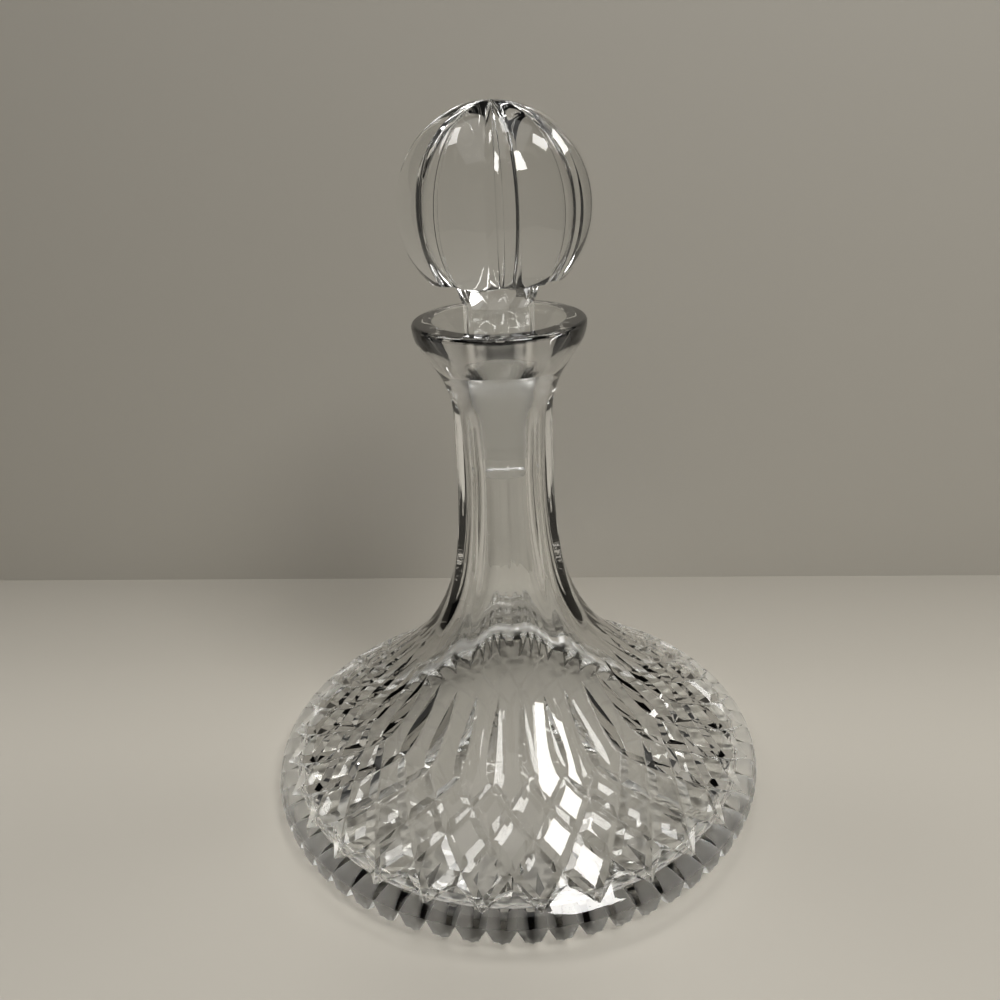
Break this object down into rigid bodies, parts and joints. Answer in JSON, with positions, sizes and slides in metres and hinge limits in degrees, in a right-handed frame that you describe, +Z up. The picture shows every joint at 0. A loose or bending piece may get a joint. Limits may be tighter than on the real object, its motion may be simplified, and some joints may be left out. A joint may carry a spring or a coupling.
{
  "type": "ships decanter",
  "caption": "Wide-based clear cut-glass ship's decanter with a fluted neck, flared lip and a lift-out ball stopper with a ground taper plug.",
  "frame": {"origin": "middle of the base, on the surface that the decanter stands on", "axes": "+Z up along the axis of the neck, -Y towards the viewer in the picture, +X to the viewer's right"},
  "size_m": [0.19, 0.19, 0.2475],
  "materials": {
    "body_glass": "clear cut and polished crystal, with a ground band inside the mouth where the stopper sits",
    "stopper_glass": "clear cut and polished crystal, with a ground band around the plug"
  },
  "bodies": {
    "decanter": {"decanter_body": "body_glass"},
    "stopper": {"stopper": "stopper_glass"}
  },
  "joints": [
    {"name": "stopper_lift", "type": "slide", "parent": "decanter", "child": "stopper", "axis": [0, 0, 1], "range_m": [0, 0.065]}
  ]
}
